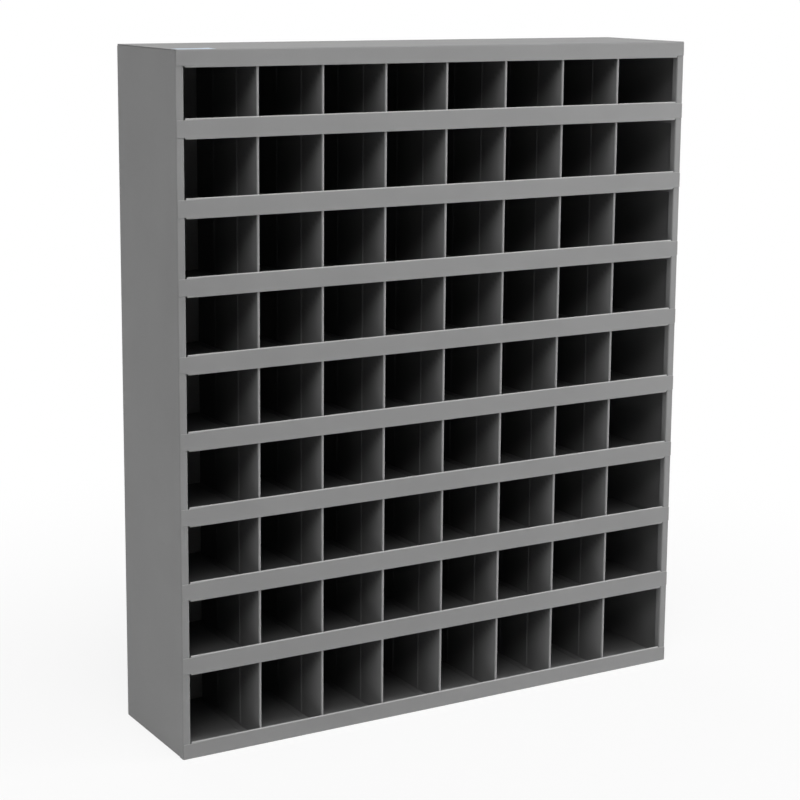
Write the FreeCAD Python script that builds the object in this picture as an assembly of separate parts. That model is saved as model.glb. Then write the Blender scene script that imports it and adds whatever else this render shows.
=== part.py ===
import FreeCAD, Part
import math
import os

# Steel pigeonhole bin unit: a welded case of bent sheet steel with fixed shelves and dividers.
# Millimetres. The origin is on the ground under the middle of the unit. +Z is up and the front faces -Y.

# Overall size
unit_width = 914.4
unit_depth = 215.9
unit_height = 1066.8

# Layout of the bins. An end bay reaches from the unit's outside to the middle of the first divider's hem.
row_count = 9
column_count = 8
end_bay_width = 131.9
bottom_row_opening = 106.1
top_row_opening = 72.4

# Sheet steel
sheet = 0.9
bend_radius = 1.0
flange_width = 12.7
return_depth = 12.0

# Front lips of the shelves, of the top and of the bottom
shelf_lip_height = 30.2
shelf_floor_drop = 25.2
bottom_lip_height = 26.2
bottom_floor_drop = 20.2
top_lip_height = 25.9
hem_gap = 1.0
hem_end_gap = 2.0
notch_clearance = 1.5

# Tabs at the ends of the lips, which lap over the side panels' front flanges
tab_inset = 0.7
tab_drop = 2.5
tab_rise = 2.5
tab_corner = 2.0

# Back panel
back_edge_gap = 2.5
rear_flange_gap = 0.5

# Dividers
divider_sheet = 0.76
divider_bend_radius = 0.6
divider_hem_thickness = 3.8
divider_hem_return = 9.0
divider_front_gap = 0.3
divider_rear_gap = 0.4
divider_flange_width = 12.0
divider_flange_setback = 2.0
bead_height = 1.5
bead_angle = 45.0
bead_radius = 1.0
front_bead_depth = 71.0
rear_bead_depth = 153.0

# Blank label on the top panel
label_width = 60.0
label_depth = 26.0
label_thickness = 0.15
label_side_gap = 5.0

# Sizes that follow from those above
half_width = unit_width / 2
front = -unit_depth / 2
rear = unit_depth / 2
setback = bend_radius + sheet
inner_half_width = half_width - sheet
flange_front = front + sheet
flange_rear = rear - sheet
lip_half_width = half_width - flange_width - hem_end_gap
rear_flange_half_width = half_width - flange_width - rear_flange_gap
tab_half_width = half_width - tab_inset
hem_radius = hem_gap / 2
hem_thickness = 2 * sheet + hem_gap
notch_y = flange_front + return_depth + notch_clearance
floor_rear = flange_rear - setback
shelf_count = row_count - 1
first_lip_top = bottom_lip_height + bottom_row_opening + shelf_lip_height
last_lip_top = unit_height - top_lip_height - top_row_opening
row_pitch = (last_lip_top - first_lip_top) / (shelf_count - 1)
column_pitch = (unit_width - 2 * end_bay_width) / (column_count - 2)
divider_setback = divider_bend_radius + divider_sheet
divider_hem_offset = (divider_hem_thickness - divider_sheet) / 2
divider_front = front + hem_thickness + divider_front_gap
divider_rear = floor_rear - divider_rear_gap

# Directions of travel in a section's plane, in degrees from its first axis
RIGHT, UP, LEFT, DOWN = 0.0, 90.0, 180.0, 270.0
TURN_LEFT, TURN_RIGHT, FOLD_RIGHT = 90.0, -90.0, -180.0

# Each plane maps a section's two coordinates and its place along the third axis to a point
PLANES = {
    "XY": lambda a, b, c: FreeCAD.Vector(a, b, c),
    "XZ": lambda a, b, c: FreeCAD.Vector(a, c, b),
    "YZ": lambda a, b, c: FreeCAD.Vector(c, a, b),
}


def run(length):
    """A straight stretch of sheet."""
    return (length, 0.0, 0.0)


def bend(angle, inside_radius):
    """A bend of the sheet by an angle in degrees, left turns positive."""
    return (0.0, angle, inside_radius)


def along(point, heading, distance):
    """The point at a distance from another along a heading in degrees."""
    turn = math.radians(heading)
    return (point[0] + distance * math.cos(turn), point[1] + distance * math.sin(turn))


def face_edge(to_space, point, heading, move, middle_radius, offset):
    """One face's edge of a move, at an offset to the left of the sheet's middle line."""
    length, angle, _ = move
    start = along(point, heading + TURN_LEFT, offset)
    if not angle:
        return Part.LineSegment(to_space(*start), to_space(*along(start, heading, length))).toShape()
    side = math.copysign(TURN_LEFT, angle)
    centre = along(point, heading + side, middle_radius)
    radius = middle_radius - math.copysign(offset, offset * angle)
    stops = [along(centre, heading - side + angle * share, radius) for share in (0.0, 0.5, 1.0)]
    return Part.Arc(*[to_space(*stop) for stop in stops]).toShape()


def advance(point, heading, move, middle_radius):
    """The middle line's point and heading after a move."""
    length, angle, _ = move
    if not angle:
        return along(point, heading, length), heading
    side = math.copysign(TURN_LEFT, angle)
    centre = along(point, heading + side, middle_radius)
    return along(centre, heading - side + angle, middle_radius), heading + angle


def bent_sheet(plane, start, heading, moves, low, high, thickness=sheet):
    """A sheet whose middle line starts at a point and follows the moves, carried from low to high."""

    def to_space(a, b):
        return PLANES[plane](a, b, low)

    left, right = [], []
    point = start
    for move in moves:
        middle_radius = move[2] + thickness / 2
        left.append(face_edge(to_space, point, heading, move, middle_radius, thickness / 2))
        right.append(face_edge(to_space, point, heading, move, middle_radius, -thickness / 2))
        point, heading = advance(point, heading, move, middle_radius)
    caps = []
    for which in (0, -1):
        ends = [edges[which].Vertexes[which].Point for edges in (left, right)]
        caps.append(Part.LineSegment(*ends).toShape())
    wire = Part.Wire(Part.__sortEdges__(left + right + caps))
    return Part.Face(wire).extrude(PLANES[plane](0, 0, high - low))


def prism(plane, points, low, high):
    """A straight-sided solid: a polygon in a plane carried from low to high."""
    corners = [PLANES[plane](a, b, low) for a, b in points]
    return Part.Face(Part.makePolygon(corners + corners[:1])).extrude(PLANES[plane](0, 0, high - low))


def block(low, high):
    """A box between two corners."""
    return Part.makeBox(*[b - a for a, b in zip(low, high)], FreeCAD.Vector(*low))


def join(solids):
    """One solid from pieces of the same sheet."""
    return solids[0].multiFuse(solids[1:]).removeSplitter()


def mirrored(shape):
    """The shape's mirror image across the unit's middle."""
    return shape.mirror(FreeCAD.Vector(0, 0, 0), FreeCAD.Vector(1, 0, 0))


def left_side_panel():
    """A pan: a full-height front flange with its return leg, and flanges at the rear, the top and the bottom."""
    panel_height = unit_height - sheet
    return_x = -half_width + flange_width - sheet / 2
    corner = bend(TURN_RIGHT, bend_radius)
    front_edge = bent_sheet(
        "XY", (return_x, flange_front + return_depth), DOWN,
        [run(return_depth - setback), corner, run(flange_width - 2 * setback), corner,
         run(notch_y - flange_front - setback)],
        0.0, panel_height - setback)
    top_corner = block((-half_width, flange_front + setback, panel_height - 2 * setback),
                       (-inner_half_width, notch_y, panel_height))
    rear_edge = bent_sheet(
        "XY", (-half_width + sheet / 2, notch_y), UP,
        [run(floor_rear - notch_y), corner, run(flange_width - setback)],
        setback, panel_height - setback)
    ends = bent_sheet(
        "XZ", (-half_width + flange_width, sheet / 2), LEFT,
        [run(flange_width - setback), corner, run(panel_height - 2 * setback), corner, run(flange_width - setback)],
        notch_y, floor_rear)
    return join([front_edge, top_corner, rear_edge, ends])


def lip_tab(low, high):
    """The right-hand tab of a hemmed lip, with its two outer corners cut off."""
    inner = lip_half_width - hem_end_gap
    points = [(inner, low), (tab_half_width - tab_corner, low), (tab_half_width, low + tab_corner),
              (tab_half_width, high - tab_corner), (tab_half_width - tab_corner, high), (inner, high)]
    return prism("XZ", points, front, front + sheet)


def hemmed_front(lip_bottom, lip_top, floor_top):
    """Outer leaf, hem, inner leaf and the front of the floor, between the side panels' flanges."""
    inner_leaf_y = front + sheet + hem_gap + sheet / 2
    hem_centre = lip_top - hem_radius - sheet
    floor_run = notch_y - inner_leaf_y - bend_radius + notch_clearance
    return bent_sheet(
        "YZ", (front + sheet / 2, lip_bottom), UP,
        [run(hem_centre - lip_bottom), bend(FOLD_RIGHT, hem_radius),
         run(hem_centre - floor_top - bend_radius), bend(TURN_LEFT, bend_radius),
         run(floor_run)],
        -lip_half_width, lip_half_width)


def floor_with_flanges(floor_top, flange_bottom):
    """The floor between the side panels and its side and rear flanges, turned down."""
    corner = bend(TURN_RIGHT, bend_radius)
    flange = run(floor_top - flange_bottom - setback)
    sides = bent_sheet(
        "XZ", (-inner_half_width + sheet / 2, flange_bottom), UP,
        [flange, corner, run(2 * (inner_half_width - setback)), corner, flange],
        notch_y, floor_rear)
    back = bent_sheet(
        "YZ", (floor_rear - flange_width, floor_top - sheet / 2), RIGHT,
        [run(flange_width), corner, flange],
        -rear_flange_half_width, rear_flange_half_width)
    return [sides, back]


def hemmed_shelf(lip_bottom, lip_top, floor_top, tab_bottom, flange_bottom):
    """A floor with a hemmed front lip, its lapping tabs, and flanges against the sides and the back."""
    tab = lip_tab(tab_bottom, lip_top - tab_drop)
    pieces = [hemmed_front(lip_bottom, lip_top, floor_top), tab, mirrored(tab)]
    return join(pieces + floor_with_flanges(floor_top, flange_bottom))


def top_lip(low_half, high_half, height):
    """A stretch of the top panel's front lip, with its bend and the sheet's front strip."""
    return bent_sheet(
        "YZ", (front + sheet / 2, unit_height - height), UP,
        [run(height - setback), bend(TURN_RIGHT, bend_radius), run(flange_width)],
        low_half, high_half)


def top_panel():
    """A sheet with a front lip, whose ends lap the side flanges, and a rear flange."""
    lip_bottom = unit_height - top_lip_height
    tab_bottom = lip_bottom + tab_rise
    tab = top_lip(lip_half_width, tab_half_width, top_lip_height - tab_rise)
    corner = [(tab_half_width, tab_bottom), (tab_half_width, tab_bottom + tab_corner),
              (tab_half_width - tab_corner, tab_bottom)]
    tab = tab.cut(prism("XZ", corner, front, front + sheet))
    cover = block((-half_width, front + setback, unit_height - sheet), (half_width, floor_rear, unit_height))
    back = bent_sheet(
        "YZ", (floor_rear - flange_width, unit_height - sheet / 2), RIGHT,
        [run(flange_width), bend(TURN_RIGHT, bend_radius), run(flange_width - setback)],
        -rear_flange_half_width, rear_flange_half_width)
    return join([top_lip(-lip_half_width, lip_half_width, top_lip_height), tab, mirrored(tab), cover, back])


def back_panel():
    """One flat sheet across the rear flanges."""
    return block((-half_width + back_edge_gap, flange_rear, back_edge_gap),
                 (half_width - back_edge_gap, rear, unit_height - back_edge_gap))


def bead_moves():
    """The moves of one pressed bead, and its half length along the web."""
    angle = math.radians(bead_angle)
    middle_radius = bead_radius + divider_sheet / 2
    slope = (bead_height - 2 * middle_radius * (1 - math.cos(angle))) / math.sin(angle)
    half_length = 2 * middle_radius * math.sin(angle) + slope * math.cos(angle)
    moves = [bend(bead_angle, bead_radius), run(slope), bend(-2 * bead_angle, bead_radius),
             run(slope), bend(bead_angle, bead_radius)]
    return moves, half_length


def divider_web(height):
    """The hemmed and beaded upright sheet, its web on the plane X = 0, between its flanges' bends."""
    hem_inside = divider_hem_thickness / 2 - divider_sheet
    hem_outside = divider_hem_thickness / 2
    bead, half_bead = bead_moves()
    web_start = divider_front + hem_outside
    front_bead = front + front_bead_depth
    rear_bead = front + rear_bead_depth
    moves = [run(divider_hem_return - hem_outside), bend(FOLD_RIGHT, hem_inside),
             run(front_bead - half_bead - web_start)]
    moves += bead + [run(rear_bead - front_bead - 2 * half_bead)] + bead
    moves.append(run(divider_rear - rear_bead - half_bead))
    start = (divider_hem_thickness - divider_sheet, divider_front + divider_hem_return)
    return bent_sheet("XY", start, DOWN, moves, divider_setback, height - divider_setback, divider_sheet)


def divider(height):
    """One divider that stands on Z = 0, with its foot and head flanges turned to the left."""
    flange_start = divider_front + divider_hem_return + divider_flange_setback
    foot = bent_sheet(
        "XZ", (divider_sheet / 2 - divider_flange_width, divider_sheet / 2), RIGHT,
        [run(divider_flange_width - divider_setback), bend(TURN_LEFT, divider_bend_radius)],
        flange_start, divider_rear, divider_sheet)
    head = bent_sheet(
        "XZ", (0.0, height - divider_setback), UP,
        [bend(TURN_LEFT, divider_bend_radius), run(divider_flange_width - divider_setback)],
        flange_start, divider_rear, divider_sheet)
    return join([divider_web(height), foot, head])


def divider_row(floor_top, ceiling):
    """The row's dividers, whose hems are evenly spaced between the two end bays."""
    piece = divider(ceiling - floor_top)
    first = -half_width + end_bay_width - divider_hem_offset
    places = [first + column_pitch * index for index in range(column_count - 1)]
    return Part.makeCompound([piece.translated(FreeCAD.Vector(x, 0, floor_top)) for x in places])


def blank_label():
    """A thin bare label on the top panel, beside the front bend at the left."""
    left = -half_width + label_side_gap
    low = front + setback
    return block((left, low, unit_height), (left + label_width, low + label_depth, unit_height + label_thickness))


def unit():
    """Every piece of the unit by name."""
    side = left_side_panel()
    bottom_floor = bottom_lip_height - bottom_floor_drop
    pieces = {
        "left_side_panel": side,
        "right_side_panel": mirrored(side),
        "top_panel": top_panel(),
        "bottom_panel": hemmed_shelf(0.0, bottom_lip_height, bottom_floor, 0.0, setback),
        "back_panel": back_panel(),
        "blank_label": blank_label(),
    }
    lip_tops = [first_lip_top + row_pitch * index for index in range(shelf_count)]
    floors = [bottom_floor] + [lip_top - shelf_floor_drop for lip_top in lip_tops]
    for number, lip_top in enumerate(lip_tops, start=1):
        lip_bottom = lip_top - shelf_lip_height
        floor_top = lip_top - shelf_floor_drop
        pieces[f"shelf_{number}"] = hemmed_shelf(
            lip_bottom, lip_top, floor_top, lip_bottom + tab_rise, floor_top - flange_width)
    for number, floor_top in enumerate(floors, start=1):
        above = floors[number] if number < row_count else unit_height
        pieces[f"row_{number}_dividers"] = divider_row(floor_top, above - sheet)
    return pieces


os.makedirs("parts", exist_ok=True)
for name, shape in unit().items():
    shape.exportStep(f"parts/{name}.step")
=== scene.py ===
"""Looks of a steel pigeonhole bin unit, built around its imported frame.

Each steel piece is one bent sheet, as it is on the real unit. Two profiles, each a middle line of straight
runs and round bends, are added up on a grid, the cells of the blank's notches are left out, and the surface
that is left gets the sheet's thickness.
"""
from __future__ import annotations

import logging
import math
from dataclasses import dataclass, field
from enum import Enum, IntEnum

import bpy
import numpy as np
from mathutils import Matrix, Vector

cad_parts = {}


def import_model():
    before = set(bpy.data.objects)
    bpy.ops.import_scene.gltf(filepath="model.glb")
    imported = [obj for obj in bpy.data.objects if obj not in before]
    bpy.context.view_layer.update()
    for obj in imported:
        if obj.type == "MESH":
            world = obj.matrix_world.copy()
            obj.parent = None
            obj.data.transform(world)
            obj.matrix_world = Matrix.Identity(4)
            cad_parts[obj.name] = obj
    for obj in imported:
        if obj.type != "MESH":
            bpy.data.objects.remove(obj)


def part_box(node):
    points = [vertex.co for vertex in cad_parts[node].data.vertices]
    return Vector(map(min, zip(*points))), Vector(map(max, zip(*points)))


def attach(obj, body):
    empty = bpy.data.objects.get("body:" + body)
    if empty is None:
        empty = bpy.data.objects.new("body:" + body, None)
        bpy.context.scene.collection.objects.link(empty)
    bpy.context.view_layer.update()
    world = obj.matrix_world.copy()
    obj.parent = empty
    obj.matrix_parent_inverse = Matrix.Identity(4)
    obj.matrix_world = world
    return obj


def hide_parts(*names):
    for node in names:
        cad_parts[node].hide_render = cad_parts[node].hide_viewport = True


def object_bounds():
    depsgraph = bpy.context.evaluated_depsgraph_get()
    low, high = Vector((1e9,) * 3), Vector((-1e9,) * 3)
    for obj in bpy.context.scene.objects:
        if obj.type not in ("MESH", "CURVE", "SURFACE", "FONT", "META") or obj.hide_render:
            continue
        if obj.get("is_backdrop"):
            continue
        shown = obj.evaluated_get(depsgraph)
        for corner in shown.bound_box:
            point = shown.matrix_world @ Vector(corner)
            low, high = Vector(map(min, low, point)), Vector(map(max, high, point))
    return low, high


MM = 0.001
IMAGE_PIXELS = 800
SENSOR_MM = 36.0
BODY = "root"
SHELF_COUNT = 8
# Grid lines that agree to this many places of a metre are one line.
GRID_PLACES = 7
# Most values of a noise texture lie between these.
NOISE_RANGE = (0.3, 0.7)
# Cut edges are sharper than this angle, and bends are flatter between their grid lines.
EDGE_ANGLE = 50.0
EDGE_SEGMENTS = 3

log = logging.getLogger("bin_unit")


class Turn(Enum):
    """Which way a sheet turns at a bend, in degrees."""

    LEFT = 90.0
    RIGHT = -90.0
    FOLD_RIGHT = -180.0


class Heading(Enum):
    """Which way a profile sets off, in degrees from its first axis."""

    RIGHT = 0.0
    UP = 90.0
    LEFT = 180.0
    DOWN = 270.0


class Hand(Enum):
    """The side of the unit that a panel stands on."""

    LEFT = -1.0
    RIGHT = 1.0


class PanPlan(IntEnum):
    """The stretches of a side panel in plan."""

    RETURN_LEG = 0
    FLANGE_BEND = 1
    FRONT_FLANGE = 2
    WEB_BEND = 3
    WEB = 4


class Flanged(IntEnum):
    """The stretches of a sheet that has a flange at either end."""

    FIRST_FLANGE = 0
    FIRST_BEND = 1
    WEB = 2
    LAST_BEND = 3
    LAST_FLANGE = 4


class ShelfSection(IntEnum):
    """The stretches across a shelf."""

    LIP = 0
    HEM = 1
    INNER_LEAF = 2
    FLOOR_BEND = 3
    FLOOR = 4
    REAR_BEND = 5
    REAR_FLANGE = 6


class DividerPlan(IntEnum):
    """The stretches of a divider in plan, up to its web."""

    HEM_RETURN = 0
    HEM = 1
    WEB = 2


@dataclass(frozen=True)
class Stretch:
    """One stretch of a sheet's middle line: a straight run, or a bend where it has an angle.

    A run's cuts are places along it that get a grid line of their own, measured from its start.
    """

    length: float = 0.0
    angle: float = 0.0
    radius: float = 0.0
    cuts: tuple[float, ...] = ()

    def sampled(self, step: float, edge: float, arc_step: float) -> np.ndarray:
        """Places along the stretch that get a grid line.

        A run has lines at its ends, close inside its ends, at its cuts and at even steps. A bend has lines
        at even angles.

        Args:
            step: the longest gap between lines on a run, in metres.
            edge: how far inside its ends a run gets its support lines, in metres.
            arc_step: the largest turn between lines on a bend, in degrees.

        Returns:
            Distances along the stretch for a run, or angles in radians for a bend.
        """
        if self.angle:
            count = math.ceil(abs(self.angle) / arc_step)
            return np.linspace(0.0, math.radians(abs(self.angle)), count + 1)
        even = np.linspace(0.0, self.length, math.ceil(self.length / step) + 1)
        near = np.clip([edge, self.length - edge], 0.0, self.length)
        return np.unique(np.round(np.concatenate((even, near, self.cuts)), GRID_PLACES))


@dataclass(frozen=True)
class Profile:
    """A sheet's middle line in a plane.

    Attributes:
        points: the line's points, one row each.
        stretch: for each gap between points, the number of the stretch that it lies on.
    """

    points: np.ndarray
    stretch: np.ndarray

    @classmethod
    def follow(cls, start: tuple[float, float], heading: Heading, stretches: list[Stretch],
               step: float = 45 * MM, edge: float = 0.6 * MM, arc_step: float = 15.0) -> Profile:
        """Walks along the stretches.

        A run goes straight on. A bend keeps its radius about a centre on the side that it turns to, so its
        points are the centre plus the radius times the turned direction back from it.

        Args:
            start: where the line starts.
            heading: which way it sets off.
            stretches: the runs and bends in order.
            step: the longest gap between grid lines on a run.
            edge: how far inside a run's ends its support lines lie.
            arc_step: the largest turn between grid lines on a bend, in degrees.

        Returns:
            The profile.
        """
        here = np.array(start)
        turn = math.radians(heading.value)
        points, owner = [here[None]], []
        for number, stretch in enumerate(stretches):
            along = stretch.sampled(step, edge, arc_step)[1:]
            if stretch.angle:
                side = math.copysign(1.0, stretch.angle)
                normal = turn + side * math.pi / 2
                centre = here + stretch.radius * np.array([math.cos(normal), math.sin(normal)])
                back = normal + math.pi + side * along
                new = centre + stretch.radius * np.stack([np.cos(back), np.sin(back)], axis=1)
                turn += math.radians(stretch.angle)
            else:
                new = here + along[:, None] * np.array([math.cos(turn), math.sin(turn)])
            here = new[-1]
            points.append(new)
            owner.append(np.full(len(new), number))
        return cls(np.concatenate(points), np.concatenate(owner))

    def cells(self, *numbers: int) -> np.ndarray:
        """Which gaps between the points lie on these stretches."""
        return np.isin(self.stretch, numbers)

    def middles(self) -> np.ndarray:
        """The middle of each gap between the points."""
        return (self.points[1:] + self.points[:-1]) / 2

    def touches(self, *numbers: int) -> np.ndarray:
        """Which points lie on these stretches, ends included."""
        cells = self.cells(*numbers)
        return np.append(cells, False) | np.insert(cells, 0, False)


@dataclass
class Blank:
    """A sheet before it gets its thickness: a grid of points, and the cells of it that are steel.

    Attributes:
        points: the grid's points in metres, in rows and columns.
        kept: the cells that are steel.
        wear_and_highlight: for each point, from 0 to 1, how much of the paler colour it gets: a painted
        highlight on folds and tab edges, partly rubbed paint. Nowhere if it is left out.
        painted_shade: for each point, from 0 to 1, how much painted shade it gets deep in a bin and under
        the lip above, partly a thinner film; likewise.
    """

    points: np.ndarray
    kept: np.ndarray
    wear_and_highlight: np.ndarray | None = None
    painted_shade: np.ndarray | None = None

    def mesh(self, name: str) -> bpy.types.Mesh:
        """Puts the kept cells into a mesh, as quads, with the paint's attributes on its points.

        Args:
            name: the mesh's name.

        Returns:
            The mesh, with smooth faces.
        """
        rows, columns = self.points.shape[:2]
        number = np.arange(rows * columns).reshape(rows, columns)
        corners = (number[:-1, :-1], number[1:, :-1], number[1:, 1:], number[:-1, 1:])
        quads = np.stack([corner[self.kept] for corner in corners], axis=1)
        used, faces = np.unique(quads, return_inverse=True)
        mesh = bpy.data.meshes.new(name)
        mesh.from_pydata(self.points.reshape(-1, 3)[used], [], faces.reshape(-1, 4))
        mesh.polygons.foreach_set("use_smooth", np.ones(len(quads), bool))
        for label, values in (("wear_and_highlight", self.wear_and_highlight), ("painted_shade", self.painted_shade)):
            if values is not None:
                attribute = mesh.attributes.new(label, "FLOAT", "POINT")
                attribute.data.foreach_set("value", values.reshape(-1)[used].astype(np.float32))
        return mesh


def smooth_step(share: np.ndarray) -> np.ndarray:
    """The smooth step from 0 to 1: three times the square less twice the cube of a share."""
    share = np.clip(share, 0.0, 1.0)
    return share * share * (3.0 - 2.0 * share)


@dataclass(frozen=True)
class Bins:
    """The rows of bins, and the painted shade under each lip above them, partly a thinner film.

    Attributes:
        front: the unit's front, in Y.
        floors: the heights of the rows' floors, from the lowest up.
        lips: the heights of the lower edges of the lips above the rows.
        step: the longest gap between grid lines where the painted shade changes.
        whole: the depth over the drop below the lip up to which there is no painted shade.
        none: the depth over the drop from which the painted shade is full.
        least_drop: the drop that points above the lip's lower edge count with.
    """

    front: float
    floors: np.ndarray
    lips: np.ndarray
    step: float = 9.0 * MM
    whole: float = 0.1
    none: float = 1.4
    least_drop: float = 1.0 * MM

    def painted_shade(self, y: np.ndarray, z: np.ndarray) -> np.ndarray:
        """How much painted shade points in the bins get, partly standing for a thinner film.

        The shade lies as if the lip above cut off light from above and in front. Its share is a smooth step
        of a point's depth over its drop below that lip.

        Args:
            y: the points' Y values.
            z: the points' heights.

        Returns:
            Shares from 0 to 1.
        """
        row = np.maximum(np.searchsorted(self.floors, z, side="right") - 1, 0)
        drop = np.maximum(self.lips[row] - z, self.least_drop)
        return smooth_step(((y - self.front) / drop - self.whole) / (self.none - self.whole))


def linear(code: str) -> tuple[float, float, float, float]:
    """Linear colour of an sRGB hex value, by the sRGB curve.

    Args:
        code: the colour, such as #8f8f8f.

    Returns:
        Red, green, blue and an alpha of 1.
    """
    shares = np.array([int(code[place:place + 2], 16) for place in (1, 3, 5)]) / 255.0
    curve = np.where(shares <= 0.04045, shares / 12.92, ((shares + 0.055) / 1.055) ** 2.4)
    return (*curve.tolist(), 1.0)


def add_node(tree: bpy.types.NodeTree, kind: str, settings: dict | None = None,
             links: dict | None = None) -> bpy.types.Node:
    """Adds a node with its settings and links.

    Args:
        tree: the material's or world's node tree.
        kind: the node's type name.
        settings: values for input sockets, or for the node's own properties, by name or socket number.
        links: output sockets to join to input sockets, by name or socket number.

    Returns:
        The node.
    """
    node = tree.nodes.new(kind)
    for key, value in (settings or {}).items():
        if isinstance(key, int) or key in node.inputs:
            node.inputs[key].default_value = value
        else:
            setattr(node, key, value)
    for key, source in (links or {}).items():
        tree.links.new(source, node.inputs[key])
    return node


def add_spots(tree: bpy.types.NodeTree, size_mm: float, detail: float) -> bpy.types.NodeSocket:
    """Adds a noise texture with spots of a real size.

    Args:
        tree: the material's node tree.
        size_mm: how wide the spots are.
        detail: how many finer layers lie on them.

    Returns:
        The socket of the texture's value.
    """
    place = add_node(tree, "ShaderNodeTexCoord").outputs["Object"]
    return add_node(tree, "ShaderNodeTexNoise", {"Scale": 1.0 / (size_mm * MM), "Detail": detail},
                    {"Vector": place}).outputs["Fac"]


def add_spread(tree: bpy.types.NodeTree, value: bpy.types.NodeSocket, middle: float,
               spread: float) -> bpy.types.NodeSocket:
    """Maps a noise texture's value to a number around a middle.

    Args:
        tree: the material's node tree.
        value: the texture's value.
        middle: the middle of the numbers.
        spread: how far they go to either side.

    Returns:
        The socket of the number.
    """
    low, high = NOISE_RANGE
    limits = {"From Min": low, "From Max": high, "To Min": middle - spread, "To Max": middle + spread}
    return add_node(tree, "ShaderNodeMapRange", limits, {"Value": value}).outputs["Result"]


def add_mix(tree: bpy.types.NodeTree, share: bpy.types.NodeSocket, first: str,
            second: str) -> bpy.types.NodeSocket:
    """Adds a mix of two colours.

    Args:
        tree: the material's node tree.
        share: the socket of the second colour's share.
        first: the first colour as an sRGB hex value.
        second: the second colour, likewise.

    Returns:
        The socket of the mixed colour.
    """
    # Names repeat among a mix node's sockets. Its colours are inputs 6 and 7, and their mix is output 2.
    colours = {"data_type": "RGBA", 6: linear(first), 7: linear(second)}
    return add_node(tree, "ShaderNodeMix", colours, {0: share}).outputs[2]


def empty_tree(name: str) -> tuple[bpy.types.Material, bpy.types.NodeTree]:
    """A new material with an empty node tree."""
    material = bpy.data.materials.new(name)
    material.use_nodes = True
    material.node_tree.nodes.clear()
    return material, material.node_tree


@dataclass(frozen=True)
class PowderCoat:
    """Satin polyester powder coat, sprayed on as dust and baked.

    It gives a neutral grey with a soft, broad gloss, a fine orange peel, and cloudy patches a hand wide
    where the film is thicker. A paler line on folds and tab edges is a painted highlight, partly paint
    rubbed thin there. Deep in a bin and under the lip above, the grey is darkened: painted shade, partly a
    thinner film where the charged dust keeps out of recesses, and the finish is duller.
    """

    name: str
    colour: str = "#8f8f8f"
    # Paler colour on folds and tab edges: a painted highlight, partly paint rubbed thin.
    wear_and_highlight_colour: str = "#a6a6a6"
    # Tone where the painted shade deep in a bin is full; partly a thinner film.
    deepest_shade_tone: float = 1.0
    gloss: float = 0.5
    ior: float = 1.5
    roughness: float = 0.7
    roughness_spread: float = 0.05
    cloud_mm: float = 140.0
    cloud_depth: float = 0.035
    # Real orange peel is 1 to 3 mm across. It is drawn at 4 mm, because finer peel is lost in the render.
    peel_mm: float = 4.0
    peel_height_mm: float = 0.02
    peel_strength: float = 0.5
    grit_mm: float = 1.3

    def material(self) -> bpy.types.Material:
        """The finish as a material.

        Returns:
            The material.
        """
        material, tree = empty_tree(self.name)
        clouds, grit = add_spots(tree, self.cloud_mm, detail=3.0), add_spots(tree, self.grit_mm, detail=1.0)
        cloud = add_spread(tree, clouds, 1.0, self.cloud_depth)
        rough = add_spread(tree, grit, self.roughness, self.roughness_spread)
        # Paler on folds and tab edges: a painted highlight, partly rubbed paint.
        wear_and_highlight = add_node(tree, "ShaderNodeAttribute", {"attribute_name": "wear_and_highlight"})
        paint = add_mix(tree, wear_and_highlight.outputs["Fac"], self.colour, self.wear_and_highlight_colour)
        # Darker deep in the bins and under each lip above: painted shade, partly a thinner film.
        shade_node = add_node(tree, "ShaderNodeAttribute", {"attribute_name": "painted_shade"})
        shade_factor = add_node(tree, "ShaderNodeMapRange", {"To Min": 1.0, "To Max": self.deepest_shade_tone},
                        {"Value": shade_node.outputs["Fac"]})
        cloud_and_shade = add_node(tree, "ShaderNodeMath", {"operation": "MULTIPLY"},
                         {0: cloud, 1: shade_factor.outputs["Result"]})
        tone = add_node(tree, "ShaderNodeVectorMath", {"operation": "SCALE"},
                        {0: paint, "Scale": cloud_and_shade.outputs[0]})
        bump = add_node(tree, "ShaderNodeBump",
                        {"Strength": self.peel_strength, "Distance": self.peel_height_mm * MM},
                        {"Height": add_spots(tree, self.peel_mm, detail=2.0)})
        surface = add_node(tree, "ShaderNodeBsdfPrincipled",
                           {"IOR": self.ior, "Specular IOR Level": self.gloss},
                           {"Base Color": tone.outputs["Vector"], "Roughness": rough,
                            "Normal": bump.outputs["Normal"]})
        add_node(tree, "ShaderNodeOutputMaterial", links={"Surface": surface.outputs["BSDF"]})
        return material


@dataclass(frozen=True)
class LabelFilm:
    """Coated paper label: pale blue, smooth, with a faint mottle from its fibres."""

    name: str = "coated_paper_label"
    colour: str = "#cddbe8"
    fibre_colour: str = "#c3d2e1"
    fibre_mm: float = 1.5
    roughness: float = 0.5

    def material(self) -> bpy.types.Material:
        """The finish as a material.

        Returns:
            The material.
        """
        material, tree = empty_tree(self.name)
        fibres = add_spots(tree, self.fibre_mm, detail=3.0)
        surface = add_node(tree, "ShaderNodeBsdfPrincipled", {"Roughness": self.roughness},
                           {"Base Color": add_mix(tree, fibres, self.colour, self.fibre_colour)})
        add_node(tree, "ShaderNodeOutputMaterial", links={"Surface": surface.outputs["BSDF"]})
        return material


@dataclass(frozen=True)
class Gauge:
    """Thickness and bends of the case's sheet steel, in metres."""

    sheet: float = 0.9 * MM
    inside_radius: float = 1.0 * MM
    edge_round: float = 0.4 * MM

    @property
    def middle_radius(self) -> float:
        """Radius of a bend's middle line."""
        return self.inside_radius + self.sheet / 2

    @property
    def setback(self) -> float:
        """From a bend's outer corner to where its flat starts."""
        return self.inside_radius + self.sheet

    def bend(self, turn: Turn) -> Stretch:
        """A bend of the sheet."""
        return Stretch(angle=turn.value, radius=self.middle_radius)


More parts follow.
